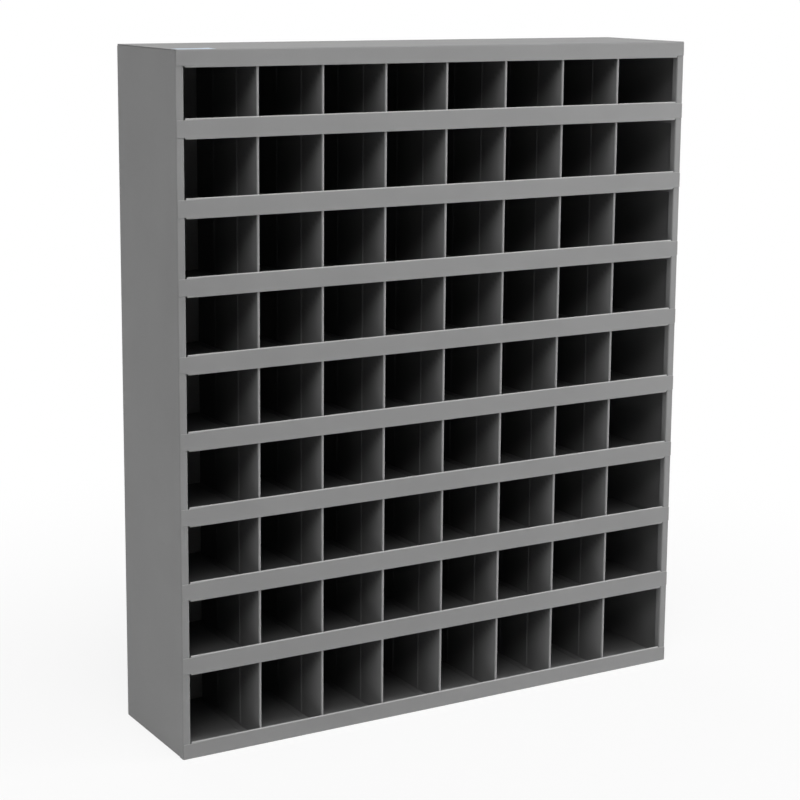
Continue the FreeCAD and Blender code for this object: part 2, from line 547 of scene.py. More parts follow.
def finish_piece(name: str, mesh: bpy.types.Mesh, thickness: float, edge_round: float,
                 material: bpy.types.Material, node: str,
                 inner: bpy.types.Material | None = None) -> bpy.types.Object:
    """Makes a mesh a piece of the unit: gives it thickness and soft edges, paints it and puts it on its body.

    Args:
        name: the piece's name.
        mesh: the sheet's middle surface.
        thickness: the sheet's thickness.
        edge_round: radius of the paint over the sheet's cut edges.
        material: the finish.
        node: the frame's node that the piece stands for.
        inner: the finish of the sheet's rear face, where it isn't the same.

    Returns:
        The piece.
    """
    piece = bpy.data.objects.new(name, mesh)
    bpy.context.scene.collection.objects.link(piece)
    mesh.materials.append(material)
    solid = piece.modifiers.new("sheet_thickness", "SOLIDIFY")
    solid.thickness = thickness
    solid.offset = 0.0
    solid.use_even_offset = True
    if inner:
        mesh.materials.append(inner)
        solid.material_offset = 1
    edges = piece.modifiers.new("paint_edge", "BEVEL")
    edges.width = edge_round
    edges.segments = EDGE_SEGMENTS
    edges.use_clamp_overlap = False
    edges.limit_method = "ANGLE"
    edges.angle_limit = math.radians(EDGE_ANGLE)
    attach(piece, BODY)
    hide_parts(node)
    log.info("%s: %d faces before its thickness", name, len(mesh.polygons))
    return piece


@dataclass
class SidePanel:
    """A pan that closes one side: a front flange with a return leg, and flanges on the other edges."""

    hand: Hand
    gauge: Gauge = field(default_factory=Gauge)
    flange: float = 12.7 * MM
    return_leg: float = 12.0 * MM
    corner_notch: float = 13.5 * MM
    relief: float = 1.2 * MM

    @property
    def name(self) -> str:
        """The panel's name without its kind."""
        return f"{self.hand.name.lower()}_side"

    def build(self, bins: Bins) -> bpy.types.Mesh:
        """The pan's middle surface.

        The profile in plan (return leg, flange, web, rear flange) gives X and Y, and the profile in
        elevation (bottom flange, web, top flange) adds its own step in X and gives Z. In front of the
        corner notches the sheet isn't bent at its ends: there the step is left out, and the bends' share of
        the height is laid out straight. The grid's order turns with the hand, so that the faces point
        outwards.

        Args:
            bins: the rows of bins inside.

        Returns:
            The mesh.
        """
        low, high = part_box(f"{self.name}_panel")
        gauge = self.gauge
        bend, setback, half = gauge.bend(Turn.RIGHT), gauge.setback, gauge.sheet / 2
        notch = self.corner_notch - setback
        plan = Profile.follow(
            (self.flange - half, low.y + self.return_leg), Heading.DOWN,
            [Stretch(self.return_leg - setback), bend, Stretch(self.flange - 2 * setback), bend,
             Stretch(high.y - low.y - 2 * setback, cuts=(notch - self.relief, notch)), bend,
             Stretch(self.flange - setback)], bins.step)
        levels = np.concatenate((bins.floors, bins.floors[1:] - bins.step)) - low.z - setback
        elevation = Profile.follow(
            (self.flange, low.z + half), Heading.LEFT,
            [Stretch(self.flange - setback), bend,
             Stretch(high.z - low.z - 2 * setback, cuts=tuple(levels)), bend,
             Stretch(self.flange - setback)], bins.step)
        straight = plan.points[:, 1] < low.y + self.corner_notch - self.relief / 2
        foot_bend, head_bend = elevation.touches(Flanged.FIRST_BEND), elevation.touches(Flanged.LAST_BEND)
        share = np.linspace(0.0, 1.0, np.count_nonzero(foot_bend))
        level = elevation.points[:, 1].copy()
        level[foot_bend] = low.z + setback * share
        level[head_bend] = high.z - setback * share[::-1]
        outside = low.x if self.hand is Hand.LEFT else high.x
        step_in = np.where(straight[:, None], 0.0, elevation.points[None, :, 0] - half)
        x = outside - self.hand.value * (plan.points[:, 0, None] + step_in)
        y = np.broadcast_to(plan.points[:, 1, None], x.shape)
        z = np.where(straight[:, None], level[None, :], elevation.points[None, :, 1])
        web, middle_y = plan.cells(PanPlan.WEB), plan.middles()[:, 1]
        behind = web & (middle_y > low.y + self.corner_notch)
        ahead = web & (middle_y < low.y + self.corner_notch - self.relief)
        before = plan.cells(PanPlan.RETURN_LEG, PanPlan.FLANGE_BEND, PanPlan.FRONT_FLANGE, PanPlan.WEB_BEND)
        foot = (ahead | before)[:, None] & elevation.cells(Flanged.FIRST_BEND)[None, :]
        head = ahead[:, None] & elevation.cells(Flanged.LAST_BEND)[None, :]
        kept = elevation.cells(Flanged.WEB)[None, :] | behind[:, None] | foot | head
        # Painted shade on the web deep in the bins and under each lip above, shown on its inner face.
        painted_shade = np.where(plan.touches(PanPlan.WEB)[:, None], bins.painted_shade(y, z), 0.0)
        order = slice(None, None, int(self.hand.value))
        points = np.stack([x, y, z], axis=-1)[order]
        return Blank(points, kept[order], painted_shade=painted_shade[order]).mesh(f"{self.name}_sheet")

    def dress(self, material: bpy.types.Material, inner: bpy.types.Material, bins: Bins) -> bpy.types.Object:
        """Builds the panel and paints it."""
        return finish_piece(f"{self.name}_sheet", self.build(bins), self.gauge.sheet, self.gauge.edge_round,
                            material, f"{self.name}_panel", inner)


@dataclass
class LipEnds:
    """How a front lip ends at the side panels: the hem stops short, and a tab laps over the side flange.

    Attributes:
        flange: the width of the side panels' flanges.
        hem_gap: from a side flange to the hem's end.
        tab_inset: from a side panel's outer face to the tab's end.
        tab_drop: from the lip's upper edge to the tab's.
        tab_rise: from the lip's lower edge to the tab's.
        tab_round: radius of the tab's corners.
        tab_nose: the share of the corner that its edge keeps as a short straight nose.
        rear_gap: from a side panel's rear flange to the end of the rear flange beside it.
        corner_shares: where grid lines lie over a tab's corner, as shares of its radius.
    """

    flange: float = 12.7 * MM
    hem_gap: float = 2.0 * MM
    tab_inset: float = 0.7 * MM
    tab_drop: float = 2.5 * MM
    tab_rise: float = 2.5 * MM
    tab_round: float = 2.0 * MM
    tab_nose: float = 0.3
    rear_gap: float = 0.5 * MM
    corner_shares: tuple[float, ...] = (0.0, 0.3, 0.6, 1.0)

    def corner_cuts(self) -> np.ndarray:
        """Grid lines over a tab's rounded corner, from its edge."""
        return self.tab_round * np.array(self.corner_shares)

    def lip_half(self, half_width: float) -> float:
        """Half the length of the lip between the side flanges."""
        return half_width - self.flange - self.hem_gap

    def tab_half(self, half_width: float) -> float:
        """From the middle of the unit to a tab's end."""
        return half_width - self.tab_inset

    def rear_half(self, half_width: float) -> float:
        """Half the length of a rear flange between the side panels' rear flanges."""
        return half_width - self.flange - self.rear_gap

    def rounded(self, x: np.ndarray, z: np.ndarray, half_width: float, low: float, high: float) -> np.ndarray:
        """Draws in the tabs' outer corners to quarter circles.

        Past the start of the corner, X is squeezed towards it by the quarter circle's share at that height,
        which starts from a short straight nose.

        Args:
            x: the grid's X values.
            z: the grid's Z values.
            half_width: half the unit's width.
            low: the tab's lower edge, or a height under everything where its lower corner stays square.
            high: the tab's upper edge, likewise.

        Returns:
            The new X values.
        """
        start = self.tab_half(half_width) - self.tab_round
        inside = np.minimum(z - low, high - z) / self.tab_round
        share = np.sqrt(np.clip(1.0 - np.clip(1.0 - inside, 0.0, 1.0) ** 2, 0.0, 1.0))
        past = np.maximum(np.abs(x) - start, 0.0)
        return np.sign(x) * (np.abs(x) - past * (1.0 - np.maximum(share, self.tab_nose)))

    def reached(self, x: np.ndarray, half_width: float, floor_half: float) -> np.ndarray:
        """Carries the tabs' ends past the floor's straight part, over the side flanges.

        Args:
            x: the grid's X values.
            half_width: half the unit's width.
            floor_half: half the length of the floor's straight part, where the grid of the tabs ends.

        Returns:
            X with the missing length added, in proportion from the rear flange's end to the tab's corner.
        """
        start = self.rear_half(half_width)
        share = np.clip((np.abs(x) - start) / (floor_half - self.tab_round - start), 0.0, 1.0)
        return x + np.sign(x) * share * (self.tab_half(half_width) - floor_half)


@dataclass
class HemmedShelf:
    """A floor with a hemmed front lip, lapping tabs, and flanges against the sides and the back."""

    node: str
    lip_height: float = 30.2 * MM
    floor_drop: float = 25.2 * MM
    hem_gap: float = 1.0 * MM
    flange: float = 12.7 * MM
    notch_depth: float = 14.4 * MM
    gauge: Gauge = field(default_factory=Gauge)
    ends: LipEnds = field(default_factory=LipEnds)

    def section(self, low: Vector, high: Vector, step: float) -> Profile:
        """The profile across the shelf, from the lip over the hem and the floor to the rear flange.

        Args:
            low: the node's lowest corner.
            high: the node's highest corner.
            step: the longest gap between grid lines.

        Returns:
            The profile in Y and Z.
        """
        gauge, ends = self.gauge, self.ends
        half = gauge.sheet / 2
        hem_radius = self.hem_gap / 2 + half
        leaf = self.lip_height - hem_radius - half
        inner_leaf = self.floor_drop - hem_radius - half - gauge.inside_radius
        floor_start = low.y + 2 * hem_radius + half + gauge.middle_radius
        floor = high.y - gauge.setback - floor_start
        tab_cuts = (*(ends.tab_rise + ends.corner_cuts()),
                    *(self.lip_height - ends.tab_drop - ends.corner_cuts()))
        notch = low.y + self.notch_depth - floor_start
        return Profile.follow(
            (low.y + half, high.z - self.lip_height), Heading.UP,
            [Stretch(leaf, cuts=tab_cuts), Stretch(angle=Turn.FOLD_RIGHT.value, radius=hem_radius),
             Stretch(inner_leaf), gauge.bend(Turn.LEFT), Stretch(floor, cuts=(notch,)),
             gauge.bend(Turn.RIGHT), Stretch(self.flange - gauge.setback)], step)

    def span(self, high: Vector, half_width: float) -> Profile:
        """The profile along the shelf: side flange, floor, side flange, as X and a step in Z.

        Args:
            high: the node's highest corner.
            half_width: half the unit's width.

        Returns:
            The profile in X and Z.
        """
        gauge, ends = self.gauge, self.ends
        floor = 2 * (high.x - gauge.setback)
        stops = [ends.lip_half(half_width), ends.rear_half(half_width), floor / 2 - ends.tab_round]
        cuts = tuple(floor / 2 + sign * stop for sign in (-1, 1) for stop in stops)
        flange, bend = Stretch(self.flange - gauge.setback), gauge.bend(Turn.RIGHT)
        return Profile.follow((-high.x + gauge.sheet / 2, gauge.sheet / 2 - self.flange), Heading.UP,
                              [flange, bend, Stretch(floor, cuts=cuts), bend, flange])

    def build(self, half_width: float, bins: Bins) -> bpy.types.Mesh:
        """The shelf's middle surface.

        The section gives Y and Z, and the span gives X and adds its step in Z. Steel is left where the blank
        has it: the lip between its ends, the tabs, the floor behind the corner notches, and the flanges.

        Args:
            half_width: half the unit's width.
            bins: the rows of bins.

        Returns:
            The mesh.
        """
        low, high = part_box(self.node)
        section, span, ends = self.section(low, high, bins.step), self.span(high, half_width), self.ends
        tab_low, tab_high = self.lip_edge() + ends.tab_rise, high.z - ends.tab_drop
        z_lip = section.points[None, :, 1]
        x = np.repeat(span.points[:, :1], len(section.points), axis=1)
        long = ends.reached(x, half_width, high.x - self.gauge.setback)
        on_lip = section.touches(ShelfSection.LIP)[None, :]
        x = np.where(on_lip, ends.rounded(long, z_lip, half_width, tab_low, tab_high), x)
        y = np.broadcast_to(section.points[None, :, 0], x.shape)
        z = z_lip + span.points[:, 1, None]
        middle_x = np.abs(span.middles()[:, 0])[:, None]
        middle_y, middle_z = section.middles().T
        flat = span.cells(Flanged.WEB)[:, None]
        on_tab = section.cells(ShelfSection.LIP) & (middle_z > tab_low) & (middle_z < tab_high)
        rear = section.cells(ShelfSection.REAR_BEND, ShelfSection.REAR_FLANGE)
        between = ~rear[None, :] & (middle_x < ends.lip_half(half_width))
        floor = (section.cells(ShelfSection.FLOOR) & (middle_y > low.y + self.notch_depth))[None, :]
        back = rear[None, :] & flat & (middle_x < ends.rear_half(half_width))
        kept = between | (on_tab[None, :] & flat) | floor | back
        # Hem fold and tab edges get the paler colour: a painted highlight, partly rubbed paint.
        on_edge = np.isclose(z_lip, tab_low) | np.isclose(z_lip, tab_high)
        on_hem = section.touches(ShelfSection.HEM)[None, :]
        wear_and_highlight = on_hem | (on_lip & on_edge & (np.abs(x) > ends.lip_half(half_width)))
        # Painted shade on the floor deep in the bin and under the lip above.
        painted_shade = bins.painted_shade(y, np.maximum(z, self.floor_level()))
        blank = Blank(np.stack([x, y, z], axis=-1), kept, wear_and_highlight.astype(float), painted_shade)
        return blank.mesh(f"{self.node}_sheet")

    def lip_edge(self) -> float:
        """The height of the lip's lower edge."""
        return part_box(self.node)[1].z - self.lip_height

    def floor_level(self) -> float:
        """The height of the floor."""
        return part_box(self.node)[1].z - self.floor_drop

    def weld_level(self) -> float:
        """The height of the welds on the rear flange."""
        return self.floor_level() - self.flange / 2

    def dress(self, material: bpy.types.Material, half_width: float, bins: Bins,
              slot: str) -> bpy.types.Object:
        """Builds the shelf and paints it."""
        return finish_piece(f"{self.node}_sheet", self.build(half_width, bins), self.gauge.sheet,
                            self.gauge.edge_round, material, self.node)


@dataclass
class TopPanel:
    """The cover sheet: a front lip whose ends lap the side flanges, and a rear flange, both turned down."""

    lip_height: float = 25.9 * MM
    rear_flange: float = 12.7 * MM
    gauge: Gauge = field(default_factory=Gauge)
    ends: LipEnds = field(default_factory=LipEnds)

    def build(self, half_width: float) -> bpy.types.Mesh:
        """The cover's middle surface.

        The section (lip, bend, cover, bend, flange) gives Y and Z, and X runs straight across. The lip's
        ends are narrower than the cover, and their lower corners are drawn in to quarter circles.

        Args:
            half_width: half the unit's width.

        Returns:
            The mesh.
        """
        low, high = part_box("top_panel")
        gauge, ends, bend = self.gauge, self.ends, self.gauge.bend(Turn.RIGHT)
        rise = tuple(ends.tab_rise + ends.corner_cuts())
        section = Profile.follow(
            (low.y + gauge.sheet / 2, high.z - self.lip_height), Heading.UP,
            [Stretch(self.lip_height - gauge.setback, cuts=rise), bend,
             Stretch(high.y - low.y - 2 * gauge.setback), bend, Stretch(self.rear_flange - gauge.setback)])
        stops = [ends.lip_half(half_width), ends.rear_half(half_width), ends.tab_half(half_width),
                 ends.tab_half(half_width) - ends.tab_round]
        cuts = tuple(half_width + sign * stop for sign in (-1, 1) for stop in stops)
        span = Profile.follow((-half_width, 0.0), Heading.RIGHT, [Stretch(2 * half_width, cuts=cuts)])
        z_all = section.points[None, :, 1]
        x = np.repeat(span.points[:, :1], len(section.points), axis=1)
        tab_low = self.lip_edge() + ends.tab_rise
        on_lip = section.touches(Flanged.FIRST_FLANGE)[None, :]
        x = np.where(on_lip, ends.rounded(x, z_all, half_width, tab_low, math.inf), x)
        y = np.broadcast_to(section.points[None, :, 0], x.shape)
        z = np.broadcast_to(z_all, x.shape)
        middle_x = np.abs(span.middles()[:, 0])[:, None]
        above = (section.middles()[:, 1] > tab_low)[None, :]
        front = section.cells(Flanged.FIRST_FLANGE, Flanged.FIRST_BEND)[None, :]
        on_blank = above | (middle_x < ends.lip_half(half_width))
        lip = front & on_blank & (middle_x < ends.tab_half(half_width))
        rear = section.cells(Flanged.LAST_BEND, Flanged.LAST_FLANGE)[None, :]
        back = rear & (middle_x < ends.rear_half(half_width))
        kept = lip | section.cells(Flanged.WEB)[None, :] | back
        return Blank(np.stack([x, y, z], axis=-1), kept).mesh("top_sheet")

    def lip_edge(self) -> float:
        """The height of the lip's lower edge."""
        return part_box("top_panel")[1].z - self.lip_height

    def weld_level(self) -> float:
        """The height of the welds on the rear flange."""
        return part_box("top_panel")[1].z - self.rear_flange / 2

    def dress(self, material: bpy.types.Material, half_width: float) -> bpy.types.Object:
        """Builds the cover and paints it."""
        return finish_piece("top_sheet", self.build(half_width), self.gauge.sheet, self.gauge.edge_round,
                            material, "top_panel")


@dataclass
class BackPanel:
    """One flat sheet across the rear flanges, drawn in at its spot welds and slightly bowed between them."""

    gauge: Gauge = field(default_factory=Gauge)
    weld_columns: int = 8
    weld_inset: float = 6.5 * MM
    weld_radius: float = 4.5 * MM
    weld_depth: float = 0.45 * MM
    weld_lines: int = 4
    clear_radii: float = 1.5
    bow: float = 0.6 * MM

    def lines(self, low: float, high: float, welds: np.ndarray) -> np.ndarray:
        """Grid lines along one side of the sheet: even steps, and close lines over each row of welds.

        Args:
            low: where the side starts.
            high: where it ends.
            welds: the middles of the welds along it.

        Returns:
            The lines' places in order.
        """
        even = Profile.follow((low, 0.0), Heading.RIGHT, [Stretch(high - low)]).points[:, 0]
        near = np.linspace(-self.weld_radius, self.weld_radius, 2 * self.weld_lines + 1)
        far = np.abs(even[:, None] - welds).min(axis=1) > self.clear_radii * self.weld_radius
        far[[0, -1]] = True
        close = (welds[:, None] + near).ravel()
        return np.unique(np.concatenate((even[far], close[(close > low) & (close < high)])))

    def build(self, levels: list[float]) -> bpy.types.Mesh:
        """The back's middle surface.

        At a weld the sheet is drawn in by the weld's depth times the square of one less the squared share
        of its radius. Between the welds it bows in by the squared sine of the way from one level to the
        next, and less towards its upright edges.

        Args:
            levels: the heights of the flanges that it is welded to.

        Returns:
            The mesh.
        """
        low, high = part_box("back_panel")
        rows = np.array(levels)
        columns = np.linspace(low.x + self.weld_inset, high.x - self.weld_inset, self.weld_columns)
        x_lines, z_lines = self.lines(low.x, high.x, columns), self.lines(low.z, high.z, rows)
        x, z = np.meshgrid(x_lines, z_lines, indexing="ij")
        away = np.hypot(np.abs(x[..., None] - columns).min(axis=-1), np.abs(z[..., None] - rows).min(axis=-1))
        dent = np.clip(1.0 - (away / self.weld_radius) ** 2, 0.0, 1.0) ** 2
        way = np.interp(z, rows, np.arange(len(rows)))
        across = np.clip((high.x - np.abs(x)) / (columns[1] - columns[0]), 0.0, 1.0)
        bowed = np.sin(math.pi * way) ** 2 * np.sin(math.pi / 2 * across) ** 2
        y = (low.y + high.y) / 2 - self.weld_depth * dent - self.bow * bowed
        kept = np.ones((x.shape[0] - 1, x.shape[1] - 1), bool)
        return Blank(np.stack([x, y, z], axis=-1), kept).mesh("back_sheet")

    def dress(self, material: bpy.types.Material, levels: list[float]) -> bpy.types.Object:
        """Builds the back and paints it."""
        return finish_piece("back_sheet", self.build(levels), self.gauge.sheet, self.gauge.edge_round,
                            material, "back_panel")


@dataclass
class DividerRow:
    """A row of upright dividers with hemmed fronts, two beads, and foot and head flanges to the left."""

    number: int
    count: int = 7
    sheet: float = 0.76 * MM
    inside_radius: float = 0.6 * MM
    hem_thickness: float = 3.8 * MM
    hem_return: float = 9.0 * MM
    flange: float = 12.0 * MM
    flange_setback: float = 2.0 * MM
    bead_height: float = 1.5 * MM
    bead_angle: float = 45.0
    bead_inside_radius: float = 1.0 * MM
    bead_depths: tuple[float, float] = (67.9 * MM, 149.9 * MM)
    bead_runout: float = 4.0 * MM
    runout_shares: tuple[float, ...] = (0.25, 0.5, 0.75, 1.0)
    edge_round: float = 0.15 * MM

    @property
    def node(self) -> str:
        """The frame's node of the row."""
        return f"row_{self.number}_dividers"

    @property
    def name(self) -> str:
        """The name of the row's piece."""
        return f"row_{self.number}_divider_sheets"

    def bead(self) -> tuple[list[Stretch], float]:
        """The stretches of one bead, and half its length along the web.

        The web turns out by the bead's angle, climbs, turns back over the crest by twice the angle, comes
        down and turns level. The climb is what the three bends leave of the bead's height.

        Returns:
            The stretches and the half length.
        """
        angle, radius = math.radians(self.bead_angle), self.bead_inside_radius + self.sheet / 2
        slope = (self.bead_height - 2 * radius * (1 - math.cos(angle))) / math.sin(angle)
        half_length = 2 * radius * math.sin(angle) + slope * math.cos(angle)
        out = Stretch(angle=self.bead_angle, radius=radius)
        over = Stretch(angle=-2 * self.bead_angle, radius=radius)
        return [out, Stretch(slope), over, Stretch(slope), out], half_length

    def plan(self, front: float, rear: float, step: float) -> Profile:
        """The profile in plan: hem return, fold, and the web with its beads.

        Args:
            front: the divider's front, in Y.
            rear: its rear edge, in Y.
            step: the longest gap between grid lines.

        Returns:
            The profile in X, from the web's plane, and Y.
        """
        radius = (self.hem_thickness - self.sheet) / 2
        outside = self.hem_thickness / 2
        bead, half = self.bead()
        first, second = self.bead_depths
        flange_cut = self.hem_return + self.flange_setback - outside
        stretches = [Stretch(self.hem_return - outside), Stretch(angle=Turn.FOLD_RIGHT.value, radius=radius),
                     Stretch(first - half - outside, cuts=(flange_cut,)), *bead,
                     Stretch(second - first - 2 * half), *bead, Stretch(rear - front - second - half)]
        return Profile.follow((2 * radius, front + self.hem_return), Heading.DOWN, stretches, step)

    def elevation(self, low: float, high: float, step: float) -> Profile:
        """The profile in elevation: foot flange, web and head flange.

        Args:
            low: the floor's height.
            high: the height of the sheet above.
            step: the longest gap between grid lines.

        Returns:
            The profile in X, from the web's plane, and Z.
        """
        setback = self.inside_radius + self.sheet
        bend = Stretch(angle=Turn.LEFT.value, radius=self.inside_radius + self.sheet / 2)
        flange = Stretch(self.flange - setback)
        web = high - low - 2 * setback
        cuts = tuple(share * self.bead_runout for share in self.runout_shares)
        cuts += tuple(web - cut for cut in cuts)
        return Profile.follow((self.sheet / 2 - self.flange, low + self.sheet / 2), Heading.RIGHT,
                              [flange, bend, Stretch(web, cuts=cuts), bend, flange], step)

    def build(self, bins: Bins) -> bpy.types.Mesh:
        """The row's middle surfaces, the same divider at even steps.

        The plan gives X and Y, and the elevation adds its step in X and gives Z. The beads run out smoothly
        before the flanges' bends. A cell is steel on the web, or behind the hem on the flanges.

        Args:
            bins: the rows of bins.

        Returns:
            The mesh.
        """
        low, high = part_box(self.node)
        plan, elevation = self.plan(low.y, high.y, bins.step), self.elevation(low.z, high.z, bins.step)
        setback = self.inside_radius + self.sheet
        inside = np.minimum(elevation.points[:, 1] - low.z, high.z - elevation.points[:, 1]) - setback
        rise = smooth_step(inside / self.bead_runout)
        on_hem = plan.touches(DividerPlan.HEM_RETURN, DividerPlan.HEM)
        offset = np.where(on_hem[:, None], plan.points[:, 0, None], plan.points[:, 0, None] * rise[None, :])
        x = offset + elevation.points[None, :, 0]
        y = np.broadcast_to(plan.points[:, 1, None], x.shape)
        z = np.broadcast_to(elevation.points[None, :, 1], x.shape)
        behind = plan.middles()[:, 1] > low.y + self.hem_return + self.flange_setback
        on_web = plan.stretch >= DividerPlan.WEB
        kept = elevation.cells(Flanged.WEB)[None, :] | (behind & on_web)[:, None]
        # The hem fold gets the paler colour: a painted highlight, partly rubbed paint.
        folded = np.insert(plan.cells(DividerPlan.HEM), 0, False)
        wear_and_highlight = np.broadcast_to(folded[:, None].astype(float), x.shape)
        # Painted shade on the web deep in the bin and under the lip above; none on the hem.
        painted_shade = np.where(on_hem[:, None], 0.0, bins.painted_shade(y, z))
        first = low.x + self.flange - self.sheet / 2
        last = high.x - self.hem_thickness + self.sheet / 2
        webs = np.linspace(first, last, self.count)
        one = np.stack([x, y, z], axis=-1)
        gap = np.zeros((1, kept.shape[1]), bool)
        shifts = webs[:, None, None, None] * np.array([1.0, 0.0, 0.0])
        points = (one[None] + shifts).reshape(-1, *one.shape[1:])
        kept_all = np.concatenate([np.concatenate([kept, gap])] * self.count)[:-1]
        paint = [np.tile(values, (self.count, 1)) for values in (wear_and_highlight, painted_shade)]
        return Blank(points, kept_all, *paint).mesh(self.name)

    def dress(self, material: bpy.types.Material, bins: Bins) -> bpy.types.Object:
        """Builds the row and paints it."""
        return finish_piece(self.name, self.build(bins), self.sheet, self.edge_round, material, self.node)


@dataclass
class Label:
    """A bare label on the cover, whose far corner has come up a little."""

    thickness: float = 0.15 * MM
    edge_round: float = 0.03 * MM
    lift: float = 0.5 * MM
    curl_power: int = 4
    lines: tuple[int, int] = (25, 21)

    def build(self) -> bpy.types.Mesh:
        """The label's middle surface.

        It is a flat grid, raised by the lift times the curl's power of the product of the two ways across it.

        Returns:
            The mesh.
        """
        low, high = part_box("blank_label")
        u, v = np.meshgrid(*(np.linspace(0.0, 1.0, count) for count in self.lines), indexing="ij")
        x = low.x + (high.x - low.x) * u
        y = low.y + (high.y - low.y) * v
        z = low.z + self.thickness / 2 + self.lift * (u * v) ** self.curl_power
        kept = np.ones((x.shape[0] - 1, x.shape[1] - 1), bool)
        return Blank(np.stack([x, y, z], axis=-1), kept).mesh("label_sheet")

    def dress(self, material: bpy.types.Material) -> bpy.types.Object:
        """Builds the label and gives it its finish."""
        return finish_piece("label_sheet", self.build(), self.thickness, self.edge_round, material,
                            "blank_label")


@dataclass(frozen=True)
class SoftLight:
    """A square soft box that points at the middle of the unit.

    Attributes:
        name: the lamp's name.
        azimuth: its turn from the unit's front towards the right, in degrees.
        elevation: its angle up from the ground, in degrees.
        distance: how far it stands from the unit's middle, in metres.
        size: the length of its sides, in metres.
        power: its power in watts.
        in_gloss: whether its mirror image shows in gloss.
    """

    name: str
    azimuth: float
    elevation: float
    distance: float
    size: float
    power: float
    in_gloss: bool = True

    def place(self, target: Vector) -> bpy.types.Object:
        """Adds the lamp.

        Args:
            target: the point it looks at.

        Returns:
            The lamp's object.
        """
        around, up = math.radians(self.azimuth), math.radians(self.elevation)
        away = Vector((math.sin(around) * math.cos(up), -math.cos(around) * math.cos(up), math.sin(up)))
        data = bpy.data.lights.new(self.name, "AREA")
        data.size = self.size
        data.energy = self.power
        lamp = bpy.data.objects.new(self.name, data)
        bpy.context.scene.collection.objects.link(lamp)
        lamp.location = target + away * self.distance
        lamp.rotation_euler = (-away).to_track_quat("-Z", "Y").to_euler()
        lamp.visible_glossy = self.in_gloss
        return lamp


@dataclass(frozen=True)
class Viewpoint:
    """The camera of the reference view.

    Attributes:
        offset: where it stands from the unit's lower front left corner, in metres.
        yaw: its turn from straight ahead towards the right, in degrees.
        pitch: its tilt up, in degrees.
        roll: how far it leans to the left, in degrees.
        focal_pixels: its focal length in pixels of the image.
        axis_row: the row of the image that its axis meets.
    """

    offset: tuple[float, float, float] = (-1.173, -2.622, 1.188)
    yaw: float = 30.54
    pitch: float = -10.10
    roll: float = 0.47
    focal_pixels: float = 1995.0
    axis_row: float = 320.0

    def place(self, corner: Vector) -> bpy.types.Object:
        """Adds the camera.

        Args:
            corner: the unit's lower front left corner.

        Returns:
            The camera's object.
        """
        yaw, pitch, roll = (math.radians(angle) for angle in (self.yaw, self.pitch, self.roll))
        ahead = Vector((math.sin(yaw) * math.cos(pitch), math.cos(yaw) * math.cos(pitch), math.sin(pitch)))
        right = Vector((math.cos(yaw), -math.sin(yaw), 0.0))
        up = right.cross(ahead)
        right, up = right * math.cos(roll) + up * math.sin(roll), up * math.cos(roll) - right * math.sin(roll)
        data = bpy.data.cameras.new("view_camera")
        data.sensor_width = SENSOR_MM
        data.lens = self.focal_pixels / IMAGE_PIXELS * SENSOR_MM
        data.shift_y = (self.axis_row - IMAGE_PIXELS / 2) / IMAGE_PIXELS
        camera = bpy.data.objects.new("view_camera", data)
        bpy.context.scene.collection.objects.link(camera)
        turn = Matrix((right, up, -ahead)).transposed().to_4x4()
        camera.matrix_world = Matrix.Translation(corner + Vector(self.offset)) @ turn
        bpy.context.scene.camera = camera
        return camera


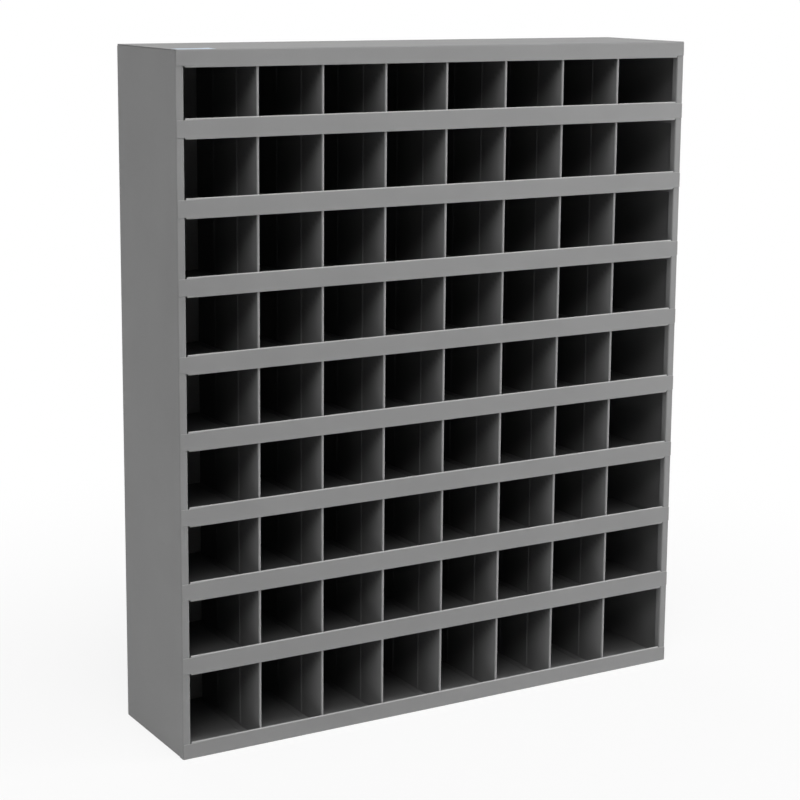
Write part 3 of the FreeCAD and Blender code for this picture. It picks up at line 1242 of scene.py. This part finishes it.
@dataclass
class Studio:
    """A white paper sweep, soft light, and the camera."""

    floor_half: float = 14.0
    floor_white: str = "#f2f2f2"
    shadow_share: float = 0.14
    shadow_start: float = 0.4
    shadow_reach: float = 1.6
    lights: tuple[SoftLight, ...] = (
        SoftLight("top_soft_box", azimuth=-20.0, elevation=70.0, distance=5.0, size=2.4, power=146.0),
        SoftLight("key_soft_box", azimuth=-30.0, elevation=40.0, distance=10.0, size=3.6, power=166.0),
        SoftLight("right_front_soft_box", azimuth=58.0, elevation=18.0, distance=3.6, size=1.6, power=58.0),
        SoftLight("left_soft_box", azimuth=-115.0, elevation=10.0, distance=5.0, size=2.2, power=31.0),
        SoftLight("rear_soft_box", azimuth=180.0, elevation=12.0, distance=5.0, size=2.2, power=70.0,
                  in_gloss=False),
    )

    def backdrop_rays(self, tree: bpy.types.NodeTree) -> bpy.types.NodeSocket:
        """A socket that is 1 for the rays which show the backdrop.

        These come from the camera, off gloss and through glass.

        Args:
            tree: the material's or world's node tree.

        Returns:
            The socket.
        """
        path = add_node(tree, "ShaderNodeLightPath").outputs
        sharp = add_node(tree, "ShaderNodeMath", {"operation": "MAXIMUM"},
                         {0: path["Is Glossy Ray"], 1: path["Is Transmission Ray"]})
        return add_node(tree, "ShaderNodeMath", {"operation": "MAXIMUM"},
                        {0: path["Is Camera Ray"], 1: sharp.outputs[0]}).outputs[0]

    def floor(self) -> bpy.types.Object:
        """The pale floor: one large quad.

        Backdrop rays see white paper that is darkened only by the unit's shadow. The shadow's share falls
        smoothly from its full value at its start, near the unit, to nothing at its reach.

        Returns:
            The floor's object.
        """
        half, corners = self.floor_half, ((-1, -1), (1, -1), (1, 1), (-1, 1))
        mesh = bpy.data.meshes.new("floor")
        mesh.from_pydata([(half * x, half * y, 0.0) for x, y in corners], [], [(0, 1, 2, 3)])
        floor = bpy.data.objects.new("floor", mesh)
        bpy.context.scene.collection.objects.link(floor)
        material, tree = empty_tree("white_paper_sweep")
        plain = add_node(tree, "ShaderNodeBsdfDiffuse", {"Color": linear(self.floor_white)})
        white = add_node(tree, "ShaderNodeEmission", {"Strength": 1.0})
        place = add_node(tree, "ShaderNodeTexCoord").outputs["Object"]
        away = add_node(tree, "ShaderNodeVectorMath", {"operation": "LENGTH"}, {0: place})
        clean = add_node(tree, "ShaderNodeMapRange",
                         {"interpolation_type": "SMOOTHSTEP", "From Min": self.shadow_start,
                          "From Max": self.shadow_reach, "To Min": 1.0 - self.shadow_share, "To Max": 1.0},
                         {"Value": away.outputs["Value"]})
        share = add_node(tree, "ShaderNodeMath", {"operation": "MULTIPLY"},
                         {0: self.backdrop_rays(tree), 1: clean.outputs["Result"]})
        both = add_node(tree, "ShaderNodeMixShader",
                        links={0: share.outputs[0], 1: plain.outputs[0], 2: white.outputs[0]})
        add_node(tree, "ShaderNodeOutputMaterial", links={"Surface": both.outputs[0]})
        mesh.materials.append(material)
        floor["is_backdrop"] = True
        return floor

    def sky(self) -> None:
        """A white backdrop to the camera, to gloss and through glass, and no light to the rest."""
        world = bpy.data.worlds.new("white_backdrop")
        bpy.context.scene.world = world
        world.use_nodes = True
        tree = world.node_tree
        tree.nodes.clear()
        back = add_node(tree, "ShaderNodeBackground", {"Color": (1.0, 1.0, 1.0, 1.0)},
                        {"Strength": self.backdrop_rays(tree)})
        add_node(tree, "ShaderNodeOutputWorld", links={"Surface": back.outputs["Background"]})

    def build(self, low: Vector, high: Vector) -> None:
        """Sets up the floor, the backdrop, the lamps and the camera.

        Args:
            low: the unit's lowest corner.
            high: the unit's highest corner.
        """
        bpy.context.scene.view_settings.view_transform = "Standard"
        self.floor()
        self.sky()
        for light in self.lights:
            light.place((low + high) / 2)
        Viewpoint().place(low)


def main() -> None:
    """Builds every piece around the frame, and the studio."""
    logging.basicConfig(level=logging.INFO, format="%(message)s")
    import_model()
    frame_box = [list(corner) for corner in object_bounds()]
    low, high = (Vector(corner) for corner in frame_box)
    half_width = (high.x - low.x) / 2
    case = PowderCoat("grey_powder_coat_case").material()
    # The lower tones darken the case's inside, the shelves and the dividers with painted shade deep in the
    # bins, partly a thinner film.
    inside = PowderCoat("grey_powder_coat_case_inside", deepest_shade_tone=0.6, gloss=0.2).material()
    # The shelves' paler hem colour is a painted highlight, partly rubbed paint.
    shelf = PowderCoat("grey_powder_coat_shelf", wear_and_highlight_colour="#b2b2b2", deepest_shade_tone=0.3).material()
    divider = PowderCoat("grey_powder_coat_divider", deepest_shade_tone=0.3, gloss=0.2).material()
    top, shelves = TopPanel(), [HemmedShelf(f"shelf_{number}") for number in range(1, SHELF_COUNT + 1)]
    bottom = HemmedShelf("bottom_panel", lip_height=26.2 * MM, floor_drop=20.2 * MM, flange=4.1 * MM,
                         ends=LipEnds(tab_rise=0.0))
    bins = Bins(low.y, np.array([sheet.floor_level() for sheet in (bottom, *shelves)]),
                np.array([sheet.lip_edge() for sheet in (*shelves, top)]))
    for hand in Hand:
        SidePanel(hand).dress(case, inside, bins)
    top.dress(case, half_width)
    bottom.dress(shelf, half_width, bins, "case_paint")
    BackPanel().dress(case, [sheet.weld_level() for sheet in (bottom, *shelves, top)])
    for sheet in shelves:
        sheet.dress(shelf, half_width, bins, "shelf_paint")
    for number in range(1, SHELF_COUNT + 2):
        DividerRow(number).dress(divider, bins)
    Label().dress(LabelFilm().material())
    Studio().build(low, high)


if __name__ == "__main__":
    main()
